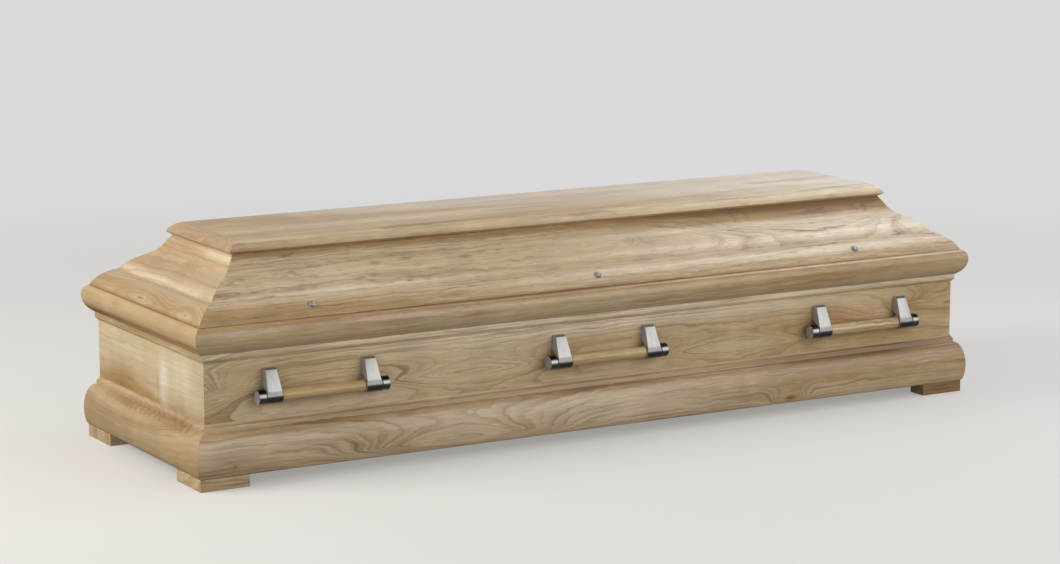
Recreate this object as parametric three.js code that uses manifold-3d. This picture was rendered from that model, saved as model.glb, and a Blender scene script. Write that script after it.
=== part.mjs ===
// Rectangular ash-wood coffin with a moulded base, a lift-off lid and six bar handles.
// Millimetres, +Z up. X runs along the coffin, Y across it, and the origin lies on the
// ground under its middle.
//
// Every moulded frame is four boards mitred at the corners. A board is one profile of
// [inset, height] points: inset is measured inwards from the widest outline, height
// upwards from the underside of the base.

import * as THREE from 'three';
import Module from 'manifold-3d';
import { mergeVertices } from 'three/addons/utils/BufferGeometryUtils.js';

const wasm = await Module();
wasm.setup();

// Plan, over the lid rail and the base moulding
const LENGTH = 2050;
const WIDTH = 642;

// Joints
const SEAT_GAP = 0.3; // between pieces that rest on or against each other
const MITRE_GAP = 0.3; // across each mitre

// Corner feet
const FOOT_HEIGHT = 27;
const FOOT_INSET = 8;
const FOOT_ALONG = 115; // along the coffin
const FOOT_ACROSS = 126; // across the coffin
const FOOT_RETURN = 50; // width left at each end, where the hidden corner is cut off

// Floor and walls
const FLOOR_THICKNESS = 18;
const WALL_INSET = 29.5;
const WALL_THICKNESS = 22;
const BODY_HEIGHT = 264; // underside of the base to the seat of the lid

// Base moulding: a tall half round under a fillet and a small cove
const BASE_EDGE_INSET = 9.5;
const BASE_WIDEST_HEIGHT = 38;
const BASE_ROUND_RISE = 57.5;
const BASE_ROUND_INSET = 22.5;
const BASE_FILLET_RISE = 10;
const BASE_FILLET_LEAN = 1.2;
const BASE_COVE_RISE = 8.5;
const BASE_COVE_HOLLOW = 1.2;

// Fillet strip along the top of the walls
const STRIP_HEIGHT = 11.5;
const STRIP_PROUD = 6.2;
const STRIP_BEVEL = 7.5;

// Lid rail: a full round nose
const NOSE_START_INSET = 22.5;
const NOSE_LOW_RISE = 39;
const NOSE_LOW_BULGE = 6.3;
const NOSE_TOP_RISE = 21.5;
const NOSE_TOP_INSET = 15;
const RAIL_DEPTH = 60; // widest outline to the rail's inner face

// Lid board: a quarter round, a quirk and a long cyma up to the cap
const ROUND_RISER = 1.5;
const ROUND_RUN = 49;
const ROUND_RISE = 39;
const ROUND_BULGE = 6.6;
const QUIRK_STEP = 1.3;
const SHOULDER_RUN = 28.5;
const SHOULDER_RISE = 26;
const SHOULDER_BULGE = 2.3;
const SLOPE_RUN = 30;
const SLOPE_RISE = 17;
const HOLLOW_RUN = 24;
const HOLLOW_RISE = 25;
const HOLLOW_DEPTH = 2.4;
const NECK_RUN = 12;
const NECK_RISE = 16;
const LID_BOARD_TOP_WIDTH = 40; // seat of the cap on each lid board

// Cap board
const CAP_OVERHANG = 11.8;
const CAP_UNDER_RISE = 6;
const CAP_TIP_RISE = 1.4;
const CAP_TIP_BACK = 1.3;
const CAP_EDGE_RUN = 29.3;
const CAP_EDGE_RISE = 22.2;
const CAP_EDGE_BULGE = 3.4;

// Lid screws
const SCREW_SPACING = 721;
const SCREW_ROW_SHIFT = -17; // the row sits a little off the middle
const SCREW_COUNT = 3;
const SCREW_INSET = 33.5;
const SCREW_RADIUS = 8.6;
const SCREW_RIM = 1.2;
const SCREW_DOME = 5.2;

// Bar handles
const HANDLE_SPACING = 721;
const HANDLE_ROW_SHIFT = -6;
const HANDLE_COUNT = 3;
const BRACKET_SPAN = 238; // between the middles of a handle's two brackets
const BRACKET_TOP_HEIGHT = 224;
const BRACKET_TOP_DEPTH = 14;
const BRACKET_TOP_WIDTH = 27;
const BRACKET_BLOCK_HEIGHT = 34; // part of the bracket that lies on the wall
const BARREL_HEIGHT = 164.5;
const BARREL_RADIUS = 16;
const BARREL_CLEARANCE = 6; // between the barrel and the wall
const BARREL_WIDTH = 37;
const ARM_SIDE_STEP = 0.3; // the arm is this much narrower than the barrel on each side
const ARM_BACK_OFFSET = 2; // where the arm's back meets the barrel, behind its axis
const GRIP_RADIUS = 13;
const ROD_END_LENGTH = 19;
const ROD_END_CHAMFER = 1;

// Fineness of the round stretches
const ARC_STEPS = 6;
const TURNED_SIDES = 24;
const SCREW_SIDES = 16;
const DOME_STEPS = 4;

// Points and curves of a profile

function add(point, run, rise) {
  return [point[0] + run, point[1] + rise];
}

// Quarter ellipse that leaves `from` along the inset axis and arrives upright at `to`.
function flatToUpright(from, to) {
  return curve((t) => [from[0] + (to[0] - from[0]) * Math.sin(t), to[1] + (from[1] - to[1]) * Math.cos(t)]);
}

// Quarter ellipse that leaves `from` upright and arrives along the inset axis at `to`.
function uprightToFlat(from, to) {
  return curve((t) => [to[0] + (from[0] - to[0]) * Math.cos(t), from[1] + (to[1] - from[1]) * Math.sin(t)]);
}

function curve(pointAt, steps = ARC_STEPS) {
  return Array.from({ length: steps + 1 }, (_, i) => pointAt((i / steps) * (Math.PI / 2)));
}

// Circle through two points whose arc stands `bulge` outwards from the chord.
function bowCircle(from, to, bulge) {
  const run = to[0] - from[0];
  const rise = to[1] - from[1];
  const half = Math.hypot(run, rise) / 2;
  const radius = (half * half + bulge * bulge) / (2 * bulge);
  const back = radius - bulge;
  const middle = [(from[0] + to[0]) / 2, (from[1] + to[1]) / 2];
  return { centre: [middle[0] + (back * rise) / (2 * half), middle[1] - (back * run) / (2 * half)], radius };
}

// Circular arc from `from` to `to`; a negative bulge makes it hollow.
function bow(from, to, bulge) {
  const { centre } = bowCircle(from, to, bulge);
  const start = Math.atan2(from[1] - centre[1], from[0] - centre[0]);
  let turn = Math.atan2(to[1] - centre[1], to[0] - centre[0]) - start;
  if (turn > Math.PI) turn -= 2 * Math.PI;
  if (turn < -Math.PI) turn += 2 * Math.PI;
  const reach = Math.hypot(from[0] - centre[0], from[1] - centre[1]);
  return Array.from({ length: ARC_STEPS + 1 }, (_, i) => {
    const angle = start + (turn * i) / ARC_STEPS;
    return [centre[0] + reach * Math.cos(angle), centre[1] + reach * Math.sin(angle)];
  });
}

// Drops points that repeat the one before.
function clean(profile) {
  const same = (a, b) => Math.hypot(a[0] - b[0], a[1] - b[1]) < 0.01;
  return profile.filter((point, i) => !same(point, profile[(i + profile.length - 1) % profile.length]));
}

// Profiles, each a closed outline that goes up the outer face and down the inner one

function baseProfile() {
  const edge = [BASE_EDGE_INSET, 0];
  const widest = [0, BASE_WIDEST_HEIGHT];
  const roundTop = [BASE_ROUND_INSET, BASE_WIDEST_HEIGHT + BASE_ROUND_RISE];
  const filletTop = add(roundTop, BASE_FILLET_LEAN, BASE_FILLET_RISE);
  const inner = WALL_INSET - SEAT_GAP;
  const coveTop = [inner, filletTop[1] + BASE_COVE_RISE];
  return clean([
    ...flatToUpright(edge, widest),
    ...uprightToFlat(widest, roundTop),
    ...bow(filletTop, coveTop, -BASE_COVE_HOLLOW),
    [inner, 0],
  ]);
}

function wallProfile() {
  const foot = FLOOR_THICKNESS + SEAT_GAP;
  const stripInset = WALL_INSET - STRIP_PROUD;
  const stripFoot = BODY_HEIGHT - STRIP_HEIGHT;
  const inner = WALL_INSET + WALL_THICKNESS;
  return [
    [WALL_INSET, foot],
    [WALL_INSET, stripFoot - STRIP_BEVEL],
    [stripInset, stripFoot],
    [stripInset, BODY_HEIGHT],
    [inner, BODY_HEIGHT],
    [inner, foot],
  ];
}

const RAIL_FOOT = BODY_HEIGHT + SEAT_GAP;
const NOSE_WIDEST_HEIGHT = RAIL_FOOT + NOSE_LOW_RISE;
const RAIL_TOP = NOSE_WIDEST_HEIGHT + NOSE_TOP_RISE;

function railProfile() {
  const start = [NOSE_START_INSET, RAIL_FOOT];
  const widest = [0, NOSE_WIDEST_HEIGHT];
  return clean([
    ...bow(start, widest, NOSE_LOW_BULGE),
    ...uprightToFlat(widest, [NOSE_TOP_INSET, RAIL_TOP]),
    [RAIL_DEPTH, RAIL_TOP],
    [RAIL_DEPTH, RAIL_FOOT],
  ]);
}

// The named turning points of the lid board's outer face, from the rail up to the cap.
function lidBoardTurns() {
  const foot = [NOSE_TOP_INSET + SEAT_GAP, RAIL_TOP + SEAT_GAP];
  const roundFoot = add(foot, 0, ROUND_RISER);
  const roundTop = add(roundFoot, ROUND_RUN, ROUND_RISE);
  const quirk = add(roundTop, QUIRK_STEP, 0);
  const shoulder = add(quirk, SHOULDER_RUN, SHOULDER_RISE);
  const hollowFoot = add(shoulder, SLOPE_RUN, SLOPE_RISE);
  const hollowTop = add(hollowFoot, HOLLOW_RUN, HOLLOW_RISE);
  const top = add(hollowTop, NECK_RUN, NECK_RISE);
  return { foot, roundFoot, roundTop, quirk, shoulder, hollowFoot, hollowTop, top };
}

function lidBoardProfile() {
  const turns = lidBoardTurns();
  return clean([
    turns.foot,
    ...bow(turns.roundFoot, turns.roundTop, ROUND_BULGE),
    ...bow(turns.quirk, turns.shoulder, SHOULDER_BULGE),
    ...bow(turns.hollowFoot, turns.hollowTop, -HOLLOW_DEPTH),
    turns.top,
    add(turns.top, LID_BOARD_TOP_WIDTH, 0),
    [RAIL_DEPTH, turns.foot[1]],
  ]);
}

function capProfile() {
  const seat = add(lidBoardTurns().top, 0, SEAT_GAP);
  const tip = add(seat, -CAP_OVERHANG + CAP_TIP_BACK, CAP_UNDER_RISE);
  const edge = add(tip, -CAP_TIP_BACK, CAP_TIP_RISE);
  const top = add(edge, CAP_EDGE_RUN, CAP_EDGE_RISE);
  return clean([seat, tip, ...bow(edge, top, CAP_EDGE_BULGE)]);
}

// Solids

function meshGeometry(vertices, triangles) {
  const geometry = new THREE.BufferGeometry();
  geometry.setAttribute('position', new THREE.Float32BufferAttribute(vertices, 3));
  geometry.setIndex(triangles);
  geometry.computeVertexNormals();
  return geometry;
}

// Prism of an outline in the Y-Z plane: `halfRun` gives how far each point reaches
// to either side along X.
function prism(outline, halfRun) {
  const contour = outline.map(([y, z]) => new THREE.Vector2(y, z));
  if (THREE.ShapeUtils.isClockWise(contour)) contour.reverse();
  const count = contour.length;
  const vertices = [];
  for (const side of [-1, 1]) {
    for (const { x: y, y: z } of contour) vertices.push(side * halfRun([y, z]), y, z);
  }
  const triangles = [];
  for (let i = 0; i < count; i += 1) {
    const next = (i + 1) % count;
    triangles.push(i, next, i + count, next, next + count, i + count);
  }
  for (const [a, b, c] of THREE.ShapeUtils.triangulateShape(contour, [])) {
    triangles.push(c, b, a, a + count, b + count, c + count);
  }
  return meshGeometry(vertices, triangles);
}

// Turns every triangle over if the closed mesh has its faces pointing in.
function outwards(geometry) {
  const position = geometry.getAttribute('position');
  const index = geometry.getIndex();
  const [a, b, c] = [new THREE.Vector3(), new THREE.Vector3(), new THREE.Vector3()];
  let volume = 0;
  for (let i = 0; i < index.count; i += 3) {
    a.fromBufferAttribute(position, index.getX(i));
    b.fromBufferAttribute(position, index.getX(i + 1));
    c.fromBufferAttribute(position, index.getX(i + 2));
    volume += a.dot(b.cross(c));
  }
  if (volume > 0) return geometry;
  for (let i = 0; i < index.count; i += 3) {
    const first = index.getX(i);
    index.setX(i, index.getX(i + 2));
    index.setX(i + 2, first);
  }
  geometry.computeVertexNormals();
  return geometry;
}

// One board of a mitred frame, lying along X on the -Y side.
function mitredBoard(profile, runLength, frameWidth) {
  const cutBack = MITRE_GAP / Math.SQRT2;
  const outline = profile.map(([inset, height]) => [inset - frameWidth / 2, height]);
  return prism(outline, ([y]) => runLength / 2 - (y + frameWidth / 2) - cutBack);
}

// Board with a moulded edge on all four sides, one ring of corners for each profile point.
function mouldedBoard(profile) {
  const vertices = [];
  for (const [inset, height] of profile) {
    const x = LENGTH / 2 - inset;
    const y = WIDTH / 2 - inset;
    vertices.push(-x, -y, height, x, -y, height, x, y, height, -x, y, height);
  }
  const triangles = [0, 2, 1, 0, 3, 2];
  for (let ring = 0; ring < profile.length - 1; ring += 1) {
    for (let side = 0; side < 4; side += 1) {
      const low = 4 * ring + side;
      const lowNext = 4 * ring + ((side + 1) % 4);
      triangles.push(low, lowNext, low + 4, lowNext, lowNext + 4, low + 4);
    }
  }
  const last = 4 * (profile.length - 1);
  triangles.push(last, last + 1, last + 2, last, last + 2, last + 3);
  return outwards(meshGeometry(vertices, triangles));
}

function footGeometry() {
  const shape = new THREE.Shape([
    new THREE.Vector2(0, 0),
    new THREE.Vector2(FOOT_ALONG, 0),
    new THREE.Vector2(FOOT_ALONG, FOOT_RETURN),
    new THREE.Vector2(FOOT_RETURN, FOOT_ACROSS),
    new THREE.Vector2(0, FOOT_ACROSS),
  ]);
  return weld(new THREE.ExtrudeGeometry(shape, { depth: FOOT_HEIGHT - SEAT_GAP, bevelEnabled: false }));
}

// Joins the vertices that share a place and drops the triangles that this flattens.
function weld(geometry) {
  const bare = geometry.clone();
  bare.deleteAttribute('normal');
  bare.deleteAttribute('uv');
  const merged = mergeVertices(bare, 1e-3);
  const index = Array.from(merged.getIndex().array);
  const kept = [];
  for (let i = 0; i < index.length; i += 3) {
    const [a, b, c] = index.slice(i, i + 3);
    if (a !== b && b !== c && c !== a) kept.push(a, b, c);
  }
  merged.setIndex(kept);
  return outwards(merged);
}

// Turned piece whose axis is Z.
function turned(outline, sides) {
  const points = clean(outline).map(([radius, height]) => new THREE.Vector2(radius, height));
  return weld(new THREE.LatheGeometry(points, sides)).rotateX(Math.PI / 2);
}

function screwGeometry() {
  const dome = curve((t) => [SCREW_RADIUS * Math.cos(t), SCREW_RIM + SCREW_DOME * Math.sin(t)], DOME_STEPS);
  dome[DOME_STEPS][0] = 0;
  return turned([[0, 0], [SCREW_RADIUS, 0], ...dome], SCREW_SIDES);
}

// Rod of a handle, lying along X from 0 to `length`.
function rodGeometry(radius, length, chamfer) {
  return turned(
    [[0, 0], [radius, 0], [radius, length - chamfer], [radius - chamfer, length], [0, length]],
    TURNED_SIDES,
  ).rotateY(Math.PI / 2);
}

function toManifold(geometry) {
  return new wasm.Manifold(new wasm.Mesh({
    numProp: 3,
    vertProperties: new Float32Array(geometry.getAttribute('position').array),
    triVerts: new Uint32Array(geometry.getIndex().array),
  }));
}

function fromManifold(solid) {
  const mesh = solid.getMesh();
  return meshGeometry(Array.from(mesh.vertProperties), Array.from(mesh.triVerts));
}

// A bracket in its own frame: X along the coffin, Y = 0 on the wall and negative outwards.
// Its arm leans out from a block on the wall and runs into the barrel that holds the rod.
const BARREL_REACH = BARREL_RADIUS + BARREL_CLEARANCE;

function bracketGeometry() {
  const dropToBarrel = BRACKET_TOP_HEIGHT - BARREL_HEIGHT;
  const reachToBarrel = BARREL_REACH - BRACKET_TOP_DEPTH;
  const distance = Math.hypot(dropToBarrel, reachToBarrel);
  const lean = Math.atan2(reachToBarrel, dropToBarrel) + Math.asin(BARREL_RADIUS / distance);
  const touch = [
    -(BARREL_REACH + BARREL_RADIUS * Math.cos(lean)),
    BARREL_HEIGHT + BARREL_RADIUS * Math.sin(lean),
  ];
  const backRise = Math.sqrt(BARREL_RADIUS ** 2 - ARM_BACK_OFFSET ** 2) - SEAT_GAP;
  const outline = [
    [-SEAT_GAP, BRACKET_TOP_HEIGHT],
    [-SEAT_GAP, BRACKET_TOP_HEIGHT - BRACKET_BLOCK_HEIGHT],
    [-(BARREL_REACH - ARM_BACK_OFFSET), BARREL_HEIGHT + backRise],
    [-BARREL_REACH, BARREL_HEIGHT],
    touch,
    [-BRACKET_TOP_DEPTH, BRACKET_TOP_HEIGHT],
  ];
  const topHalf = BRACKET_TOP_WIDTH / 2;
  const lowHalf = BARREL_WIDTH / 2 - ARM_SIDE_STEP;
  const widen = (lowHalf - topHalf) / dropToBarrel;
  const arm = prism(outline, ([, z]) => topHalf + (BRACKET_TOP_HEIGHT - z) * widen);
  const barrel = rodGeometry(BARREL_RADIUS, BARREL_WIDTH, 0)
    .translate(-BARREL_WIDTH / 2, -BARREL_REACH, BARREL_HEIGHT);
  return fromManifold(toManifold(arm).add(toManifold(barrel)));
}

// Materials

const ASH = new THREE.MeshStandardMaterial({ color: 0xc6a678, roughness: 0.48, metalness: 0 });
const GRIP_ASH = new THREE.MeshStandardMaterial({ color: 0xd2b27a, roughness: 0.42, metalness: 0 });
const NICKEL = new THREE.MeshStandardMaterial({ color: 0xc4c3bd, roughness: 0.34, metalness: 1 });

// Assembly

const coffin = new THREE.Group();

function place(parent, name, geometry, material, position = [0, 0, 0], turn = 0) {
  const mesh = new THREE.Mesh(geometry, material);
  mesh.name = name;
  mesh.position.set(...position);
  mesh.rotation.z = turn;
  parent.add(mesh);
  return mesh;
}

// Everything but the feet is measured from the underside of the base.
const onFeet = new THREE.Group();
onFeet.position.z = FOOT_HEIGHT;
coffin.add(onFeet);

// Four mitred boards of one profile: front is -Y, left is -X.
function placeFrame(name, profile) {
  const long = mitredBoard(profile, LENGTH, WIDTH);
  const short = mitredBoard(profile, WIDTH, LENGTH);
  place(onFeet, `${name}_front`, long, ASH);
  place(onFeet, `${name}_right`, short, ASH, [0, 0, 0], Math.PI / 2);
  place(onFeet, `${name}_back`, long, ASH, [0, 0, 0], Math.PI);
  place(onFeet, `${name}_left`, short, ASH, [0, 0, 0], -Math.PI / 2);
}

function placeFeet() {
  const foot = footGeometry();
  const x = LENGTH / 2 - FOOT_INSET;
  const y = WIDTH / 2 - FOOT_INSET;
  for (const [name, sx, sy] of [
    ['front_left', -1, -1], ['front_right', 1, -1], ['back_left', -1, 1], ['back_right', 1, 1],
  ]) {
    const flipped = foot.clone().applyMatrix4(new THREE.Matrix4().makeScale(-sx, -sy, 1));
    place(coffin, `foot_${name}`, outwards(flipped), ASH, [sx * x, sy * y, 0]);
  }
}

function placeFloor() {
  const long = LENGTH - 2 * WALL_INSET;
  const wide = WIDTH - 2 * WALL_INSET;
  const floor = new THREE.BoxGeometry(long, wide, FLOOR_THICKNESS);
  place(onFeet, 'floor_board', floor, ASH, [0, 0, FLOOR_THICKNESS / 2]);
}

// Domed screws on the quarter round of the front and back lid boards.
function placeScrews() {
  const { roundFoot, roundTop } = lidBoardTurns();
  const { centre, radius } = bowCircle(roundFoot, roundTop, ROUND_BULGE);
  const lean = Math.acos((centre[0] - SCREW_INSET) / radius);
  const inset = centre[0] - (radius + SEAT_GAP) * Math.cos(lean);
  const height = centre[1] + (radius + SEAT_GAP) * Math.sin(lean);
  const head = screwGeometry().rotateX(Math.PI / 2 - lean);
  for (const [side, turn] of [['front', 0], ['back', Math.PI]]) {
    const row = new THREE.Group();
    row.rotation.z = turn;
    onFeet.add(row);
    for (let i = 0; i < SCREW_COUNT; i += 1) {
      const x = Math.cos(turn) * SCREW_ROW_SHIFT + (i - (SCREW_COUNT - 1) / 2) * SCREW_SPACING;
      place(row, `lid_screw_${side}_${i + 1}`, head, NICKEL, [x, inset - WIDTH / 2, height]);
    }
  }
}

// Bar handles on the front and back walls: two brackets, a wooden grip, two rod ends.
function placeHandles() {
  const bracket = bracketGeometry();
  const grip = rodGeometry(GRIP_RADIUS, BRACKET_SPAN - BARREL_WIDTH - 2 * SEAT_GAP, 0);
  const rodEnd = rodGeometry(BARREL_RADIUS, ROD_END_LENGTH, ROD_END_CHAMFER);
  const barrelSide = BRACKET_SPAN / 2 + BARREL_WIDTH / 2 + SEAT_GAP;
  const gripSide = BRACKET_SPAN / 2 - BARREL_WIDTH / 2 - SEAT_GAP;
  for (const [side, turn] of [['front', 0], ['back', Math.PI]]) {
    const row = new THREE.Group();
    row.rotation.z = turn;
    onFeet.add(row);
    for (let i = 0; i < HANDLE_COUNT; i += 1) {
      const name = `handle_${side}_${i + 1}`;
      const x = Math.cos(turn) * HANDLE_ROW_SHIFT + (i - (HANDLE_COUNT - 1) / 2) * HANDLE_SPACING;
      const handle = new THREE.Group();
      handle.position.set(x, WALL_INSET - WIDTH / 2, 0);
      row.add(handle);
      const axis = [-BARREL_REACH, BARREL_HEIGHT];
      place(handle, `${name}_bracket_left`, bracket, NICKEL, [-BRACKET_SPAN / 2, 0, 0]);
      place(handle, `${name}_bracket_right`, bracket, NICKEL, [BRACKET_SPAN / 2, 0, 0]);
      place(handle, `${name}_grip`, grip, GRIP_ASH, [-gripSide, ...axis]);
      place(handle, `${name}_rod_end_right`, rodEnd, NICKEL, [barrelSide, ...axis]);
      const left = new THREE.Group();
      left.position.set(-barrelSide, ...axis);
      left.rotation.z = Math.PI;
      handle.add(left);
      place(left, `${name}_rod_end_left`, rodEnd, NICKEL);
    }
  }
}

placeFeet();
placeFloor();
placeFrame('base_moulding', baseProfile());
placeFrame('wall', wallProfile());
placeFrame('lid_rail', railProfile());
placeFrame('lid_board', lidBoardProfile());
place(onFeet, 'cap_board', mouldedBoard(capProfile()), ASH);
placeScrews();
placeHandles();

export default coffin;
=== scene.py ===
"""Ash-wood coffin with nickel bar handles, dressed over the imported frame.

Metres, +Z up. X runs along the coffin and the front long side faces -Y. Every wooden moulding
is an outline of (inset, height) points: inset is measured inwards from the coffin's widest
outline, height from the ground.
"""
import math

import bpy
import numpy as np
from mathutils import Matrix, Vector


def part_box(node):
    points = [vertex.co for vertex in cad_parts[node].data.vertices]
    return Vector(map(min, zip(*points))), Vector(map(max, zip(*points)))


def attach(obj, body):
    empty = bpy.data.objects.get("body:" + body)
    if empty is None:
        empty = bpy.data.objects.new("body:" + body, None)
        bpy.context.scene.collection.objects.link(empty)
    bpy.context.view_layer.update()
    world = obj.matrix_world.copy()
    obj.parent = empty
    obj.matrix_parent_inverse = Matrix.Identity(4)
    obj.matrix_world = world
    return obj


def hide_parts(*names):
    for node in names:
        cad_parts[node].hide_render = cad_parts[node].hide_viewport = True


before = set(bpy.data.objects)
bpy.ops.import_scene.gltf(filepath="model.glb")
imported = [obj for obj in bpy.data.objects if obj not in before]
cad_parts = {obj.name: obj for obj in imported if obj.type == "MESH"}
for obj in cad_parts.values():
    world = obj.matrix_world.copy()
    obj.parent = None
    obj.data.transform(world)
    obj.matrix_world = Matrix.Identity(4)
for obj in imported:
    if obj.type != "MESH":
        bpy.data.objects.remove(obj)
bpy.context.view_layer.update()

MM = 0.001

# Plan and levels, taken from the frame
HALF_LENGTH = -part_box("lid_rail_left")[0][0]
HALF_WIDTH = -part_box("lid_rail_front")[0][1]
BASE_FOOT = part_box("base_moulding_front")[0][2]
BASE_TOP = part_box("base_moulding_front")[1][2]
BODY_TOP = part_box("wall_front")[1][2]
RAIL_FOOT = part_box("lid_rail_front")[0][2]
RAIL_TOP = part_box("lid_rail_front")[1][2]
LID_BOARD_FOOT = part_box("lid_board_front")[0][2]
CAP_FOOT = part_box("cap_board")[0][2]
CAP_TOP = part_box("cap_board")[1][2]

# Woodwork
WALL_INSET = 29.5 * MM
JOINT_GAP = 0.3 * MM
MITRE_CUT = 0.2 * MM
ARRIS = 0.7 * MM
BLOCK_ARRIS = 0.8 * MM
FOOT_ARM = 50 * MM
STATIONS = 9

# Handles and screws
SEAT_GAP = 0.3 * MM
ARM_TOP_DEPTH = 14 * MM
ARM_TOP_HALF = 13.5 * MM
ARM_BLOCK = 34 * MM
ARM_BACK_OFFSET = 2 * MM
ARM_EDGE = 0.9 * MM
ARM_BEVEL_DROP = 3.5 * MM
ARM_BEVEL_RUN = 4 * MM
BARREL_EDGE = 0.5 * MM
GRIP_SHOULDER = 3 * MM
GRIP_CROWN = 0.3 * MM
ROD_RIM = 0.9 * MM
ROD_DISC_STEP = 0.4 * MM
ROD_NECK_DEPTH = 2.6 * MM
ROD_NECK_LENGTH = 2 * MM
SCREW_FLANGE = 1.2 * MM
SCREW_RIM = 1.3 * MM
FINE_EDGE = 0.3 * MM
ROD_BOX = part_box("handle_back_1_rod_end_left")
ROD_RADIUS = (ROD_BOX[1][2] - ROD_BOX[0][2]) / 2
ROD_HEIGHT = (ROD_BOX[1][2] + ROD_BOX[0][2]) / 2
ROD_OUT = (ROD_BOX[1][1] + ROD_BOX[0][1]) / 2
TURNED_SIDES = 64
SCREW_SIDES = 48

# Camera, solved from the mitred corners of the photograph
CAMERA_PLACE = (-3.466, -5.881, 1.527)
CAMERA_YAW = 30.32
CAMERA_PITCH = 10.07
CAMERA_LENS = 99.75


# Outlines

def bow(start, end, bulge, steps=20):
    """Circular arc: the chord's points pushed sideways by sqrt(r^2 - s^2) - (r - bulge)."""
    start, end = np.array(start), np.array(end)
    chord = end - start
    half = np.hypot(*chord) / 2
    radius = (half ** 2 + bulge ** 2) / (2 * abs(bulge))
    along = half * np.sin(np.linspace(-1, 1, steps) * math.asin(half / radius)) / (half / radius)
    push = np.sqrt(radius ** 2 - along ** 2) - (radius - abs(bulge))
    outward = np.array([-chord[1], chord[0]]) / (2 * half)
    middle = (start + end) / 2
    return middle + np.outer(along / (2 * half), chord) + np.outer(np.sign(bulge) * push, outward)


def quarter(start, end, leaves_upright, steps=24):
    """Quarter ellipse from start to end: one axis follows sin t, the other 1 - cos t."""
    t = np.linspace(0, math.pi / 2, steps)
    early, late = np.sin(t), 1 - np.cos(t)
    run, rise = (late, early) if leaves_upright else (early, late)
    start, end = np.array(start), np.array(end)
    return np.stack([start[0] + (end[0] - start[0]) * run, start[1] + (end[1] - start[1]) * rise], 1)


def outline(*stretches):
    """Joins points and arcs into one closed outline and drops points that repeat."""
    points = np.concatenate([np.atleast_2d(np.array(s, float)) for s in stretches])
    apart = np.hypot(*(points - np.roll(points, 1, 0)).T) > 1e-6
    return points[apart]


def eased(points, radius=ARRIS, steps=5):
    """Rounds every corner sharper than 20 degrees with a parabola between the two cut-back points."""
    before, after = np.roll(points, 1, 0), np.roll(points, -1, 0)
    back, ahead = before - points, after - points
    back_length, ahead_length = np.hypot(*back.T), np.hypot(*ahead.T)
    bend = np.arccos(np.clip(-(back * ahead).sum(1) / (back_length * ahead_length), -1, 1))
    cut = np.minimum(radius * np.tan(bend / 2), 0.45 * np.minimum(back_length, ahead_length))
    sharp = bend > math.radians(20)
    cut = np.where(sharp, cut, 0)
    first = points + back * (cut / back_length)[:, None]
    last = points + ahead * (cut / ahead_length)[:, None]
    t = np.linspace(0, 1, steps)[None, :, None]
    rounded = (1 - t) ** 2 * first[:, None] + 2 * t * (1 - t) * points[:, None] + t ** 2 * last[:, None]
    keep = sharp[:, None] | (np.arange(steps) == 0)
    return rounded[keep]


def base_outline():
    """Base moulding: rounded out from its foot to the widest line, back in a long quarter round,
    and a small hollow under the wall."""
    edge = (9.5 * MM, BASE_FOOT)
    widest = (0, BASE_FOOT + 38 * MM)
    round_top = (22.5 * MM, widest[1] + 57.5 * MM)
    fillet_top = (23.7 * MM, round_top[1] + 10 * MM)
    inner = WALL_INSET - JOINT_GAP
    hollow = 1.2 * MM
    return eased(outline(
        quarter(edge, widest, False), quarter(widest, round_top, True),
        bow(fillet_top, (inner, BASE_TOP), -hollow), (inner, BASE_FOOT)))


def wall_outline():
    """Wall board with the fillet strip along its top, which a short slope leads out to."""
    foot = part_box("wall_front")[0][2]
    strip_foot = BODY_TOP - 11.5 * MM
    slope_foot = strip_foot - 7.5 * MM
    strip = WALL_INSET - 6.2 * MM
    inner = WALL_INSET + 22 * MM
    return eased(outline(
        (WALL_INSET, foot), (WALL_INSET, slope_foot), (strip, strip_foot),
        (strip, BODY_TOP), (inner, BODY_TOP), (inner, foot)))


def rail_outline():
    """Lid rail: the full round nose, an arc below its widest line and a quarter round above."""
    foot = (22.5 * MM, RAIL_FOOT)
    widest = (0, RAIL_FOOT + 39 * MM)
    top = (15 * MM, RAIL_TOP)
    belly = 6.3 * MM
    inner = 60 * MM
    return eased(outline(
        bow(foot, widest, belly), quarter(widest, top, True), (inner, RAIL_TOP), (inner, RAIL_FOOT)))


def lid_board_outline():
    """Lid board: the quarter-round band, a quirk, and the slope that swells and then hollows."""
    foot = np.array([15.3 * MM, LID_BOARD_FOOT])
    round_foot = foot + [0, 1.5 * MM]
    round_top = round_foot + [49 * MM, 39 * MM]
    quirk = round_top + [1.3 * MM, 0]
    shoulder = quirk + [28.5 * MM, 26 * MM]
    hollow_foot = shoulder + [30 * MM, 17 * MM]
    hollow_top = hollow_foot + [24 * MM, 25 * MM]
    top = hollow_top + [12 * MM, 16 * MM]
    inner_top = top + [40 * MM, 0]
    inner_foot = (60 * MM, LID_BOARD_FOOT)
    return eased(outline(
        foot, bow(round_foot, round_top, 6.6 * MM), bow(quirk, shoulder, 2.3 * MM),
        bow(hollow_foot, hollow_top, -2.4 * MM), top, inner_top, inner_foot))


# Meshes

def closed_grid(rings):
    """Vertices and faces of a closed skin: rings is an array (rings, points, 3). Neighbouring
    rings are joined by quads and the first and last ring are filled with one face each."""
    count, around = rings.shape[:2]
    index = np.arange(count * around).reshape(count, around)
    beside = np.roll(index, -1, 1)
    quads = np.stack([index[:-1], beside[:-1], beside[1:], index[1:]], -1).reshape(-1, 4)
    faces = quads.tolist() + [index[0][::-1].tolist(), index[-1].tolist()]
    return rings.reshape(-1, 3), faces


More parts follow.
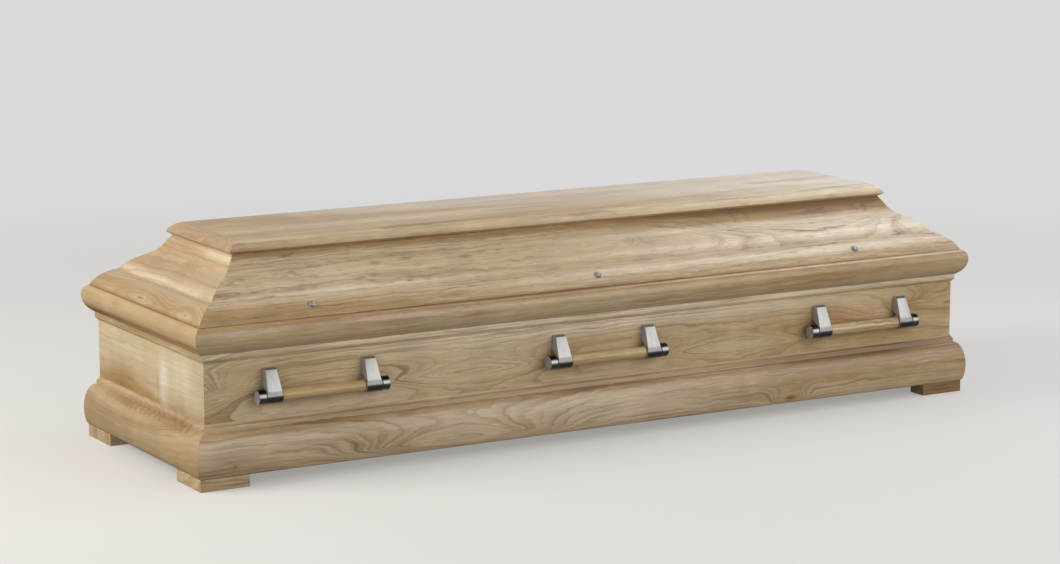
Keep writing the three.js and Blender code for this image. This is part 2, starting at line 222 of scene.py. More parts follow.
def make_piece(name, vertices, faces, materials, face_materials=None, crease=25):
    """Puts arrays into a mesh, turns it the right way out and shades it smooth below the crease."""
    mesh = bpy.data.meshes.new(name)
    mesh.from_pydata(vertices.tolist(), [], faces)
    for material in materials:
        mesh.materials.append(material)
    if face_materials is not None:
        mesh.polygons.foreach_set("material_index", face_materials)
    mesh.validate()
    if signed_volume(mesh) < 0:
        mesh.flip_normals()
    mesh.shade_smooth()
    mesh.set_sharp_from_angle(angle=math.radians(crease))
    piece = bpy.data.objects.new(name, mesh)
    bpy.context.scene.collection.objects.link(piece)
    return piece


def signed_volume(mesh):
    """Sum over the triangles of a . (b x c) / 6, positive when the faces look outwards."""
    mesh.calc_loop_triangles()
    corners = np.empty(len(mesh.loop_triangles) * 3, int)
    mesh.loop_triangles.foreach_get("vertices", corners)
    a, b, c = mesh_places(mesh)[corners].reshape(-1, 3, 3).transpose(1, 0, 2)
    return (a * np.cross(b, c)).sum() / 6


def mesh_places(mesh):
    places = np.empty(len(mesh.vertices) * 3)
    mesh.vertices.foreach_get("co", places)
    return places.reshape(-1, 3)


def fit(piece, node):
    """The piece stands for a CAD node and moves with the body."""
    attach(piece, "root")
    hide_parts(node)


# Shader building

class Wires:
    """Adds nodes to a material or node group and joins their sockets."""

    def __init__(self, tree):
        self.tree = tree

    def put(self, kind, inputs=None, **settings):
        node = self.tree.nodes.new(kind)
        for key, value in settings.items():
            setattr(node, key, value)
        for key, value in (inputs or {}).items():
            self.feed(node.inputs[key], value)
        return node

    def feed(self, socket, value):
        if isinstance(value, bpy.types.NodeSocket):
            self.tree.links.new(value, socket)
        else:
            socket.default_value = value

    def math(self, operation, a, b=0.0, c=0.0, clamp=False):
        node = self.put("ShaderNodeMath", {0: a, 1: b, 2: c}, operation=operation, use_clamp=clamp)
        return node.outputs[0]

    def vector(self, operation, a, b=(0, 0, 0)):
        node = self.put("ShaderNodeVectorMath", {0: a, 1: b}, operation=operation)
        return node.outputs["Value" if operation in ("DOT_PRODUCT", "LENGTH") else "Vector"]

    def scaled(self, vector, factor):
        node = self.put("ShaderNodeVectorMath", {0: vector, "Scale": factor}, operation="SCALE")
        return node.outputs[0]

    def noise(self, place, scale, detail=2.0, roughness=0.5):
        node = self.put("ShaderNodeTexNoise",
                        {"Vector": place, "Scale": scale, "Detail": detail, "Roughness": roughness})
        return node.outputs["Fac"]

    def remap(self, value, low, high, to_low=0.0, to_high=1.0):
        node = self.put("ShaderNodeMapRange", {0: value, 1: low, 2: high, 3: to_low, 4: to_high},
                        interpolation_type="SMOOTHSTEP")
        return node.outputs[0]

    def mix(self, share, a, b):
        node = self.put("ShaderNodeMix", {0: share, 6: a, 7: b}, data_type="RGBA")
        return node.outputs[2]


def new_group(name, inputs, outputs):
    """A shader node group with named sockets: inputs and outputs are (name, kind, value) rows."""
    tree = bpy.data.node_groups.new(name, "ShaderNodeTree")
    for label, kind, value in inputs:
        socket = tree.interface.new_socket(label, in_out="INPUT", socket_type="NodeSocket" + kind)
        socket.default_value = value
    for label, kind in outputs:
        tree.interface.new_socket(label, in_out="OUTPUT", socket_type="NodeSocket" + kind)
    w = Wires(tree)
    return tree, w, w.put("NodeGroupInput").outputs, w.put("NodeGroupOutput").inputs


def new_patch_group(name):
    """A group that takes a place and a patch, with the offset from its centre over its size."""
    tree, w, given, out = new_group(name, [
        ("Place", "Vector", (0, 0, 0)), ("Centre", "Vector", (0, 0, 0)),
        ("Size", "Vector", (1, 1, 1)), ("Height", "Float", 0.0)], [("Value", "Float")])
    offset = w.vector("DIVIDE", w.vector("SUBTRACT", given["Place"], given["Centre"]), given["Size"])
    return tree, w, given, out, offset


def build_patch_group():
    """Soft oval patch: height times exp(-|(place - centre) / size|^2)."""
    tree, w, given, out, offset = new_patch_group("Soft patch")
    fall = w.math("EXPONENT", w.math("MULTIPLY", w.vector("DOT_PRODUCT", offset, offset), -1.0))
    w.feed(out["Value"], w.math("MULTIPLY", fall, given["Height"]))
    return tree


def build_figure_group():
    """Pointed grain figure: height times exp(-((along / size)^2 + |(across, up) / size|)), whose
    level lines meet in points at both ends, with the tips rounded a little."""
    tree, w, given, out, offset = new_patch_group("Pointed figure")
    along = w.vector("MULTIPLY", offset, (1, 0, 0))
    beside = w.vector("MULTIPLY", offset, (0, 1, 1))
    off_axis = w.math("SQRT", w.math("ADD", w.vector("DOT_PRODUCT", beside, beside), 0.01))
    spread = w.math("ADD", w.vector("DOT_PRODUCT", along, along), off_axis)
    fall = w.math("EXPONENT", w.math("MULTIPLY", spread, -1.0))
    w.feed(out["Value"], w.math("MULTIPLY", fall, given["Height"]))
    return tree


def build_ash_group():
    """Ash grain. The growth surface is the distance from the pith line plus slow waves and the
    board's own figures. Soft bands, dark lines and thin rings are noise over (along the grain,
    growth surface), so they follow the figure and fade in and out along the board. Flecks, blush,
    shimmer across the grain, fibres and pores lie on top. Tone browns the wood up to 1 and turns it
    to the line colour from 1 to 2."""
    tree, w, given, out = new_group("Ash grain", [
        ("Place", "Vector", (0, 0, 0)), ("Seed", "Vector", (0, 0, 0)), ("Pith", "Vector", (0, 0, 0)),
        ("Ring Width", "Float", 0.008), ("Wave", "Float", 0.03), ("Figure", "Float", 0.0),
        ("Tone", "Float", 0.0), ("Rings", "Float", 0.35), ("Lines", "Float", 0.6),
        ("Bands", "Float", 0.7), ("Flecks", "Float", 0.0), ("Blush", "Float", 0.3),
        ("Blush Patches", "Float", 0.0), ("Pale Patches", "Float", 0.0), ("Fibre", "Float", 1.0),
        ("Light", "Color", (0.6, 0.45, 0.28, 1)), ("Brown", "Color", (0.4, 0.26, 0.13, 1)),
        ("Line", "Color", (0.27, 0.16, 0.07, 1)), ("Pink", "Color", (0.5, 0.35, 0.24, 1)),
        ("Pale", "Color", (0.75, 0.65, 0.5, 1))],
        [("Color", "Color"), ("Roughness", "Float"), ("Height", "Float")])
    place, seed = given["Place"], given["Seed"]

    def drawn_out(share):
        """The place with its step along the grain shortened, so that a noise runs with the fibres."""
        return w.vector("ADD", w.vector("MULTIPLY", place, (share, 1, 1)), seed)

    slow = w.math("SUBTRACT", w.noise(drawn_out(0.12), 6.0, 2.0), 0.5)
    wander = w.math("MULTIPLY", slow, given["Wave"])
    quick = w.math("SUBTRACT", w.noise(drawn_out(0.45), 34.0, 2.0), 0.5)
    ripple = w.math("MULTIPLY", quick, 0.009)
    across = w.vector("MULTIPLY", w.vector("SUBTRACT", place, given["Pith"]), (0, 1, 1))
    growth = w.math("ADD", w.math("ADD", w.vector("LENGTH", across), w.math("ADD", wander, ripple)),
                    given["Figure"])
    along = w.put("ShaderNodeSeparateXYZ", {0: place}).outputs["X"]
    offset = w.put("ShaderNodeSeparateXYZ", {0: seed}).outputs["X"]

    def follow(share, scale, detail):
        """Noise over the growth surface that changes slowly along the grain."""
        step = w.math("MULTIPLY", along, share)
        flow = w.put("ShaderNodeCombineXYZ", {"X": step, "Y": growth, "Z": offset})
        return w.noise(flow.outputs[0], scale, detail)

    bands = w.math("MULTIPLY", w.remap(follow(0.028, 30.0, 3.0), 0.36, 0.66), given["Bands"])
    lines = w.math("MULTIPLY", w.remap(follow(0.02, 170.0, 2.0), 0.54, 0.68), given["Lines"])
    part = w.math("FRACT", w.math("DIVIDE", growth, given["Ring Width"]))
    late_wood = w.math("POWER", w.math("SUBTRACT", 1.0, part), 3.0)
    fade = w.math("MULTIPLY", late_wood, w.remap(part, 0.0, 0.12))
    shown = w.remap(follow(0.05, 45.0, 1.0), 0.38, 0.6)
    thin = w.math("MULTIPLY", w.math("MULTIPLY", fade, shown), given["Rings"])
    flecks = w.math("MULTIPLY", w.remap(w.noise(drawn_out(0.2), 150.0, 1.0), 0.6, 0.72), given["Flecks"])
    blush = w.math("MULTIPLY", w.remap(w.noise(drawn_out(0.4), 9.0, 3.0), 0.45, 0.7), given["Blush"])
    shimmer = w.noise(w.vector("ADD", w.vector("MULTIPLY", place, (1, 0.3, 0.3)), seed), 16.0, 3.0)
    fibre = w.noise(drawn_out(0.05), 240.0, 3.0, 0.65)
    silver = w.remap(w.noise(drawn_out(0.1), 190.0, 2.0), 0.56, 0.7)
    pores = w.remap(w.noise(drawn_out(0.035), 900.0, 1.0), 0.6, 0.72)

    brownness = w.math("ADD", bands, given["Tone"], clamp=True)
    colour_here = w.mix(brownness, given["Light"], given["Brown"])
    pinkness = w.math("ADD", blush, given["Blush Patches"], clamp=True)
    colour_here = w.mix(pinkness, colour_here, given["Pink"])
    glint = w.math("MULTIPLY", given["Fibre"], 0.3)
    paleness = w.math("MULTIPLY_ADD", silver, glint, given["Pale Patches"], clamp=True)
    colour_here = w.mix(paleness, colour_here, given["Pale"])
    grain_dark = w.math("ADD", lines, thin)
    spot_dark = w.math("ADD", flecks, w.remap(given["Tone"], 1.0, 2.0))
    dark = w.math("ADD", grain_dark, spot_dark, clamp=True)
    colour_here = w.mix(dark, colour_here, given["Line"])
    pore_dark = w.math("MULTIPLY", pores, w.math("MULTIPLY_ADD", dark, 0.4, 0.12))
    colour_here = w.mix(pore_dark, colour_here, given["Line"])
    grained = w.math("MULTIPLY_ADD", w.remap(fibre, 0.3, 0.7, -0.14, 0.1), given["Fibre"], 1.0)
    shade = w.math("MULTIPLY", grained, w.remap(shimmer, 0.3, 0.7, 0.95, 1.05))
    w.feed(out["Color"], w.scaled(colour_here, shade))
    w.feed(out["Roughness"], w.math("MULTIPLY_ADD", fibre, 0.12, 0.36))
    w.feed(out["Height"], w.math("SUBTRACT", w.math("MULTIPLY", dark, -0.3), pores))
    return tree


def build_brushed_group():
    """Brushed nickel: fine scratches along one direction over soft cloudy wear."""
    tree, w, given, out = new_group("Brushed nickel", [
        ("Place", "Vector", (0, 0, 0)), ("Scratch", "Vector", (1, 0.03, 0.03)),
        ("Light", "Color", (0.46, 0.455, 0.445, 1)), ("Dark", "Color", (0.42, 0.415, 0.405, 1))],
        [("Color", "Color"), ("Roughness", "Float"), ("Height", "Float")])
    scratch = w.noise(w.vector("MULTIPLY", given["Place"], given["Scratch"]), 900.0, 2.0)
    cloud = w.noise(given["Place"], 60.0, 2.0)
    w.feed(out["Color"], w.mix(w.remap(scratch, 0.3, 0.7), given["Light"], given["Dark"]))
    worn = w.math("MULTIPLY", scratch, 0.05)
    w.feed(out["Roughness"], w.math("ADD", worn, w.math("MULTIPLY_ADD", cloud, 0.1, 0.22)))
    w.feed(out["Height"], scratch)
    return tree


PATCH = build_patch_group()
FIGURE = build_figure_group()
ASH = build_ash_group()
BRUSHED = build_brushed_group()


def new_material(name):
    material = bpy.data.materials.new(name)
    material.use_nodes = True
    material.node_tree.nodes.clear()
    return material, Wires(material.node_tree)


def use_group(w, group, inputs):
    node = w.put("ShaderNodeGroup", node_tree=group)
    for key, value in inputs.items():
        w.feed(node.inputs[key], value)
    return node.outputs


def spot(centre, along, up, strength, across=0.1):
    """One patch of a board: its centre, its half sizes and how strong it is. Places and sizes are
    (along the grain, across it, height), which is (y, -x, z) for a board along Y."""
    return centre, (along, across, up), strength


def patches(w, place, spots, group):
    """Sum of the group's shape over all spots."""
    total = 0.0
    for centre, size, height in spots:
        patch = {"Place": place, "Centre": centre, "Size": size, "Height": height}
        total = w.math("ADD", total, use_group(w, group, patch)["Value"])
    return total


def colour(hex_value):
    """Linear colour of an sRGB hex number."""
    srgb = np.array([(hex_value >> shift) & 255 for shift in (16, 8, 0)]) / 255
    linear = np.where(srgb <= 0.04045, srgb / 12.92, ((srgb + 0.055) / 1.055) ** 2.4)
    return (*linear.tolist(), 1.0)


ASH_COLOURS = {"Light": colour(0xD2BC98), "Brown": colour(0xAC8A5A), "Line": colour(0x86643E),
               "Pink": colour(0xBE9C80), "Pale": colour(0xE2D4BA)}
SEED_STEP = np.array([7.31, 3.17, 5.73])
VARNISH = 0.8

# Ends of the coffin: straighter, calmer grain than on the long sides
END_GRAIN = {"lines": 0.15, "blush": 0.0, "fibre": 0.4}


def ash(name, grain, pith, seed, tint=(1, 1, 1), ring=8, wave=0.03, figures=(), tones=(), pale=(),
        blushes=(), rings=0.75, lines=0.4, bands=0.5, flecks=0.0, blush=0.25, fibre=0.7, haze=0.27):
    """Satin-varnished ash. The fibres follow the grain axis, and the pith lies at (across the
    grain, height). Ring is the rings' width in millimetres and wave how far they wander. Figures
    lift the growth surface, tones brown it, pale spots and blushes lighten and redden it; on some
    boards tones also lay painted shade and pale spots painted highlights and sheen. Rings, lines,
    bands, flecks, blush and fibre are strengths, haze is the varnish's roughness, and tint
    multiplies the board's colours."""
    material, w = new_material(name)
    place = w.put("ShaderNodeTexCoord").outputs["Object"]
    turn = {"X": (0, 0, 0), "Y": (0, 0, -math.pi / 2)}[grain]
    place = w.put("ShaderNodeMapping", {"Vector": place, "Rotation": turn}).outputs[0]
    tinted = {key: tuple(np.multiply(value, (*tint, 1))) for key, value in ASH_COLOURS.items()}
    grown = use_group(w, ASH, {
        "Place": place, "Seed": tuple(seed * SEED_STEP), "Pith": (0, *pith),
        "Ring Width": ring * MM, "Wave": wave, "Figure": patches(w, place, figures, FIGURE),
        "Tone": patches(w, place, tones, PATCH), "Blush Patches": patches(w, place, blushes, PATCH),
        "Pale Patches": patches(w, place, pale, PATCH), "Rings": rings, "Lines": lines,
        "Bands": bands, "Flecks": flecks, "Blush": blush, "Fibre": fibre, **tinted})
    bump = w.put("ShaderNodeBump", {"Height": grown["Height"], "Strength": 0.25, "Distance": 0.4 * MM})
    shader = w.put("ShaderNodeBsdfPrincipled", {
        "Base Color": grown["Color"], "Roughness": grown["Roughness"], "Normal": bump.outputs[0],
        "Coat Weight": VARNISH, "Coat Roughness": haze, "Specular IOR Level": 0.3})
    w.put("ShaderNodeOutputMaterial", {"Surface": shader.outputs[0]})
    return material


def nickel(name, metallic, light, dark, barrel=1.0, shadow_band=False):
    """Satin nickel brushed in planes across X. Its colour is multiplied by barrel within the rod's
    radius of its axis, which darkens the barrel as a painted dark reflection. With a shadow band it
    is black where the surface looks up and back to the wall: 0.87 up less 0.5 outwards, over the
    rod's radius."""
    material, w = new_material(name)
    place = w.put("ShaderNodeTexCoord").outputs["Object"]
    worked = use_group(w, BRUSHED, {"Place": place, "Light": light, "Dark": dark})
    base = worked["Color"]
    part = w.put("ShaderNodeSeparateXYZ", {0: place}).outputs
    out = w.math("SUBTRACT", w.math("ABSOLUTE", part["Y"]), ROD_OUT)
    up = w.math("SUBTRACT", part["Z"], ROD_HEIGHT)
    # painted dark reflection: darkens the barrel's colour
    if barrel < 1:
        reach = w.math("SQRT", w.math("ADD", w.math("MULTIPLY", out, out), w.math("MULTIPLY", up, up)))
        base = w.scaled(base, w.remap(reach, 1.01 * ROD_RADIUS, 1.12 * ROD_RADIUS, barrel, 1.0))
    if shadow_band:
        facing = w.math("SUBTRACT", w.math("MULTIPLY", up, 0.87), w.math("MULTIPLY", out, 0.5))
        band = w.remap(facing, 0.02 * ROD_RADIUS, 0.2 * ROD_RADIUS)
        base = w.mix(band, base, (0.01, 0.01, 0.01, 1))
    bump = w.put("ShaderNodeBump", {"Height": worked["Height"], "Strength": 0.02, "Distance": 0.1 * MM})
    shader = w.put("ShaderNodeBsdfPrincipled", {
        "Base Color": base, "Roughness": worked["Roughness"], "Metallic": metallic,
        "Normal": bump.outputs[0]})
    w.put("ShaderNodeOutputMaterial", {"Surface": shader.outputs[0]})
    return material


# Wooden pieces

def mitred_board(side, shape):
    """A moulding's outline carried along one side, from mitre to mitre: at inset e it lies half the
    width less e from the middle and reaches half the length less e and the mitre's cut each way.
    On the ends, width and length change places."""
    inset, height = shape.T
    half_plan = (HALF_WIDTH, HALF_LENGTH)
    across_half, along_half = half_plan if side in ("front", "back") else half_plan[::-1]
    step = np.linspace(-1, 1, STATIONS)[:, None]
    along = step * (along_half - inset - MITRE_CUT)
    out = np.broadcast_to(across_half - inset, along.shape)
    up = np.broadcast_to(height, along.shape)
    places = {"front": (along, -out, up), "back": (-along, out, up),
              "left": (-out, -along, up), "right": (out, along, up)}
    return closed_grid(np.stack(places[side], -1))


def fit_frame(node, shape, *woods):
    """The four boards of one moulding, each in its own wood."""
    for side, wood in zip(("front", "back", "left", "right"), woods):
        piece = make_piece(f"{node}_{side}_dressed", *mitred_board(side, shape), [wood])
        fit(piece, f"{node}_{side}")


def dress_base():
    """Base moulding: a long pointed figure and two small knots in front, a brown band of painted
    shade along its top under the wall, and a band of short cross stripes on the left end."""
    height = BASE_FOOT + 50 * MM
    long_tint, end_tint = (0.94, 0.92, 0.90), (0.80, 0.76, 0.71)
    end_look = {**END_GRAIN, "rings": 0.45, "lines": 0.2, "bands": 0.4}
    pitch, sway = 0.013, 0.003
    stripes = [
        spot((0.15 - pitch * step + sway * math.sin(3 * step), 1.005, 0.119), 0.0045, 0.01, 0.42)
        for step in range(31)]
    front = ash(
        "ash base front", "X", (-0.24, height - 0.07), 1, long_tint, ring=6, wave=0.02, rings=0.65,
        blush=0.12,
        figures=[
            spot((-0.40, -0.321, 0.048), 0.22, 0.035, 0.09),
            spot((0.50, -0.318, 0.04), 0.05, 0.02, 0.04)],
        tones=[
            spot((-0.94, -0.32, 0.049), 0.008, 0.005, 1.7),
            spot((0.50, -0.32, 0.039), 0.012, 0.005, 1.7),
            # painted shade: browns the round at the base's top, where it meets the wall
            spot((0.4, -0.3, 0.128), 1.2, 0.022, 0.9, across=0.05),
            spot((0.85, -0.32, 0.11), 0.6, 0.05, 1.1),
            spot((-0.1, -0.32, 0.07), 0.4, 0.06, -0.3)],
        pale=[spot((-0.05, -0.32, 0.08), 0.4, 0.05, 0.3)],
        blushes=[spot((-0.94, -0.32, 0.06), 0.05, 0.03, 0.7, across=0.08)])
    back = ash("ash base back", "X", (0.25, height), 2, long_tint, ring=7)
    left = ash(
        "ash base left", "Y", (0.97, height - 0.03), 3, end_tint, **end_look,
        figures=[spot((0.12, 1.01, 0.116), 0.3, 0.04, 0.12)],
        tones=[*stripes, spot((-0.06, 1.0, 0.120), 0.3, 0.012, 0.6)])
    right = ash("ash base right", "Y", (-0.97, height), 4, end_tint, **end_look)
    fit_frame("base_moulding", base_outline(), front, back, left, right)


def dress_walls():
    """Wall boards: four pointed figures in front under a strip and wall top that are paled as painted
    light where the nose shades them, and on the left end a brown foot with one pale upright flame
    and a strip browned as painted shade under the nose."""
    height = 0.17
    strip = 0.287
    long_tint, end_tint = (1.13, 1.14, 1.15), (1.09, 1.14, 1.19)
    end_look = {**END_GRAIN, "rings": 0.2, "bands": 0.4}
    front = ash(
        "ash wall front", "X", (-0.23, height), 5, long_tint, ring=6, rings=0.6,
        figures=[
            spot((-1.05, -0.29, 0.215), 0.13, 0.04, 0.10, across=0.2),
            spot((-0.34, -0.29, 0.19), 0.17, 0.022, 0.08, across=0.2),
            spot((0.36, -0.29, 0.175), 0.18, 0.02, 0.06, across=0.2),
            spot((1.02, -0.29, 0.22), 0.22, 0.04, 0.10, across=0.2)],
        tones=[
            spot((-0.77, -0.29, 0.247), 0.15, 0.006, 0.5),
            spot((0.85, -0.29, 0.21), 0.5, 0.07, 0.6)],
        # painted light: pale bands on the strip and the wall's top, where the nose shades them
        pale=[
            spot((0, -0.297, strip), 4, 0.007, 0.5),
            spot((0, -0.29, 0.26), 0.5, 0.016, 0.7)])
    back = ash("ash wall back", "X", (0.23, height), 6, long_tint, ring=7,
               # painted light: pale band on the strip, where the nose shades it
               pale=[spot((0, 0.297, strip), 4, 0.007, 0.5)])
    left = ash(
        "ash wall left", "Y", (0.90, height), 7, end_tint, **end_look,
        tones=[
            spot((0.15, 0.995, 0.16), 0.14, 0.035, 1.0),
            spot((0.0, 0.995, 0.145), 1, 0.012, 0.6),
            # painted shade: browns the strip under the nose
            spot((0.0, 1.0, strip), 1, 0.008, 0.7),
            spot((-0.045, 0.995, 0.18), 0.01, 0.03, 0.5)],
        blushes=[spot((0.0, 1.0, strip), 1, 0.008, 0.2)],
        pale=[
            spot((-0.078, 0.995, 0.20), 0.022, 0.06, 0.9),
            spot((-0.18, 0.995, 0.225), 0.1, 0.05, 0.65),
            spot((0.11, 0.995, 0.245), 0.09, 0.02, 0.4)])
    right = ash("ash wall right", "Y", (-0.90, height), 8, end_tint, **end_look)
    fit_frame("wall", wall_outline(), front, back, left, right)


def dress_rails():
    """Lid rails: a brown line along the seam at the top, partly a dark joint and partly painted shade
    between the rail and the lid board, with a painted highlight at its right end, four pinkish
    clouds in front, and the left end's nose underside browned as painted shade."""
    long_tint, end_tint = (0.97, 0.94, 0.90), (0.95, 0.92, 0.86)
    long_look = {"rings": 0.4, "lines": 0.3, "bands": 0.4}
    end_look = {**END_GRAIN, "rings": 0.2, "bands": 0.3}
    seam = 0.352
    clouds = ((-0.64, 0.333, 0.6), (-0.56, 0.333, 0.5), (-0.35, 0.333, 0.5), (0.85, 0.322, 0.5))
    front = ash(
        "ash rail front", "X", (-0.22, RAIL_FOOT), 9, long_tint, **long_look,
        tones=[
            # partly a dark joint, partly painted shade: brown line along the seam
            spot((0, -0.31, seam), 4, 0.003, 0.8, across=0.05),
            spot((-0.08, -0.31, seam), 0.25, 0.003, 0.7, across=0.05),
            spot((-0.3, -0.31, 0.348), 1, 0.01, 0.95, across=0.05),
            spot((0.8, -0.32, 0.336), 0.35, 0.02, 0.8)],
        # painted highlight: pale line along the seam's right end
        pale=[spot((0.75, -0.31, seam), 0.4, 0.003, 0.7, across=0.05)],
        blushes=[spot((x, -0.32, z), 0.03, 0.02, strength, across=0.05) for x, z, strength in clouds])
    back = ash("ash rail back", "X", (0.22, RAIL_FOOT), 10, long_tint, **long_look)
    left = ash(
        "ash rail left", "Y", (0.92, RAIL_FOOT), 11, end_tint, **end_look,
        tones=[
            # painted shade: browns the underside of the nose
            spot((0, 1.01, 0.300), 1, 0.012, 1.0),
            spot((0, 1.01, 0.343), 1, 0.010, 0.3)])
    right = ash("ash rail right", "Y", (-0.92, RAIL_FOOT), 12, end_tint, **end_look)
    fit_frame("lid_rail", rail_outline(), front, back, left, right)


def dress_lid_boards():
    """Lid boards: brown flecks on the left of the front slope, a pointed figure on its right, browner
    hollows, pale ridges, and two small knots in the left end's band. Painted shade browns the
    seam, where it is partly a dark joint, the left end's quirk line, and the neck under the cap,
    which is also a little browner in its own tone. Painted sheen pales the right of the front band
    and slope and the top corner of the left end's slope."""
    height = LID_BOARD_FOOT
    long_tint, end_tint = (1.02, 1.04, 1.08), (0.97, 0.95, 0.90)
    end_look = {**END_GRAIN, "rings": 0.5, "bands": 0.4}
    seam = 0.3535
    fleck_places = (
        (-0.744, -0.170, 0.465), (-0.538, -0.197, 0.436), (-0.460, -0.191, 0.439),
        (-0.558, -0.231, 0.416), (-0.479, -0.249, 0.400), (-0.313, -0.202, 0.433))
    front = ash(
        "ash slope front", "X", (-0.16, height), 13, long_tint, ring=7, rings=0.6, flecks=0.32,
        figures=[spot((0.62, -0.185, 0.445), 0.30, 0.04, 0.07)],
        tones=[
            *[spot(place, 0.013, 0.0025, 1.5, across=0.02) for place in fleck_places],
            spot((-0.8, -0.29, 0.37), 0.5, 0.02, 0.8, across=0.05),
            spot((0.3, -0.29, 0.366), 0.8, 0.01, 0.5, across=0.05),
            # partly a dark joint, partly painted shade: brown line along the seam
            spot((0, -0.30, seam), 4, 0.004, 0.8, across=0.05),
            spot((-0.08, -0.30, seam), 0.25, 0.003, 0.7, across=0.05),
            spot((-0.05, -0.25, 0.398), 0.5, 0.014, 0.55, across=0.05),
            spot((0.0, -0.18, 0.452), 0.5, 0.012, 0.35, across=0.05),
            # partly the wood's tone, partly painted shade under the cap: browns the neck
            spot((0.65, -0.165, 0.474), 0.5, 0.018, 1.4, across=0.03),
            spot((0, -0.165, 0.474), 4, 0.012, 0.85, across=0.03),
            spot((0.75, -0.18, 0.452), 0.4, 0.012, 1.0, across=0.05)],
        pale=[
            spot((-0.7, -0.255, 0.397), 0.5, 0.004, 0.7, across=0.05),
            # painted sheen: pales the band's top towards the right end
            spot((0.5, -0.27, 0.385), 0.7, 0.008, 0.5, across=0.03),
            spot((-0.7, -0.22, 0.42), 0.3, 0.03, 0.3, across=0.08),
            # painted sheen: pales the slope's right end
            spot((0.85, -0.23, 0.415), 0.4, 0.025, 0.8, across=0.06)])
    back = ash("ash slope back", "X", (0.16, height), 14, long_tint, ring=7, rings=0.6, flecks=0.32)
    left = ash(
        "ash slope left", "Y", (0.85, height), 15, end_tint, **end_look,
        figures=[
            spot((0.028, 1.002, 0.365), 0.10, 0.014, 0.06),
            spot((-0.216, 1.003, 0.364), 0.05, 0.014, 0.06)],
        tones=[
            spot((0.0, 1.0, 0.375), 1, 0.02, 0.6, across=0.04),
            spot((0.0, 0.94, 0.425), 1, 0.015, 0.35, across=0.04),
            spot((0.0, 0.88, 0.455), 1, 0.01, 0.35, across=0.04),
            spot((0.028, 1.0, 0.365), 0.03, 0.004, 1.3, across=0.05),
            spot((-0.216, 1.0, 0.364), 0.012, 0.004, 1.1, across=0.05),
            # painted shade: dark line in the quirk
            spot((0, 0.97, 0.3925), 1, 0.003, 1.0, across=0.05),
            # partly a dark joint, partly painted shade: brown line along the seam
            spot((0, 1.01, seam), 1, 0.004, 1.4, across=0.05)],
        pale=[
            # painted sheen: pale spot at the slope's top corner
            spot((-0.10, 0.873, 0.466), 0.08, 0.009, 1.0, across=0.05),
            spot((0.09, 0.952, 0.402), 0.2, 0.006, 0.5, across=0.05),
            spot((0.0, 0.96, 0.395), 1, 0.010, 0.4, across=0.05),
            # painted sheen: pale spot at the slope's top corner
            spot((-0.15, 0.873, 0.468), 0.03, 0.005, 0.7, across=0.05),
            spot((0.028, 1.0, 0.365), 0.06, 0.009, 0.5, across=0.05),
            spot((-0.216, 1.0, 0.364), 0.028, 0.008, 0.6, across=0.05)],
        blushes=[spot((0.036, 0.877, 0.460), 0.05, 0.012, 0.7, across=0.05)])
    right = ash("ash slope right", "Y", (-0.85, height), 16, end_tint, **end_look)
    fit_frame("lid_board", lid_board_outline(), front, back, left, right)


def cap_shell():
    """The cap's moulded edge as rectangular rings, one for each point of the edge outline. Also
    gives each face's finish: 0 along the coffin, on top and below, 1 and 2 on the two ends."""
    tip_inset = HALF_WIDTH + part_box("cap_board")[0][1]
    seat = np.array([tip_inset + 11.8 * MM, CAP_FOOT])
    tip = seat + [-10.5 * MM, 6 * MM]
    edge = tip + [-1.3 * MM, 1.4 * MM]
    top = np.array([edge[0] + 29.3 * MM, CAP_TOP])
    shape = outline(seat, tip, bow(edge, top, 3.4 * MM))
    x = HALF_LENGTH - shape[:, 0]
    y = HALF_WIDTH - shape[:, 0]
    step = np.linspace(-1, 1, STATIONS)[:-1]
    one = np.ones_like(step)
    ring_x = np.concatenate([np.outer(x, s) for s in (step, one, -step, -one)], 1)
    ring_y = np.concatenate([np.outer(y, s) for s in (-one, step, one, -step)], 1)
    ring_z = np.repeat(shape[:, 1:], ring_x.shape[1], 1)
    sides = np.tile(np.repeat([0, 1, 0, 2], len(step)), len(shape) - 1)
    finishes = np.concatenate([sides, [0, 0]]).astype(np.int32)
    return closed_grid(np.stack([ring_x, ring_y, ring_z], -1)), finishes


def dress_cap():
    """Cap board with its own grain on the moulded ends, one small knot in the left one, and painted
    sheen paling the top towards the right end.
    """
    (vertices, faces), finishes = cap_shell()
    end_tint = (0.78, 0.71, 0.64)
    end_look = {**END_GRAIN, "rings": 0.5}
    knot = (-0.085, 0.864, 0.496)
    long_ash = ash(
        "ash cap", "X", (0.0, 0.40), 17, (1.0, 0.99, 0.97), rings=0.5, bands=0.6, haze=0.45,
        tones=[
            spot((-0.3, 0, 0.485), 1.2, 0.009, 0.35, across=1),
            spot((-0.95, 0, 0.487), 0.4, 0.012, 1.3, across=1),
            spot((0.0, 0, CAP_TOP), 0.5, 0.008, 0.5, across=1)],
        pale=[
            spot((-0.7, -0.17, CAP_TOP), 0.6, 0.02, 0.6, across=0.02),
            spot((-0.3, -0.05, CAP_TOP), 0.9, 0.02, 0.5, across=0.03),
            # painted sheen: pales the top towards the right end
            spot((0.8, -0.1, CAP_TOP), 0.4, 0.015, 0.9, across=0.3)])
    left_ash = ash(
        "ash cap left end", "Y", (0.80, 0.46), 18, end_tint, **end_look,
        figures=[spot(knot, 0.05, 0.012, 0.05)],
        tones=[spot(knot, 0.02, 0.004, 0.6, across=0.05)],
        pale=[spot(knot, 0.05, 0.008, 0.4, across=0.05)])
    right_ash = ash("ash cap right end", "Y", (-0.80, 0.46), 19, end_tint, **end_look)
    woods = [long_ash, right_ash, left_ash]
    piece = make_piece("cap_board_dressed", vertices, faces, woods, finishes)
    fit(piece, "cap_board")


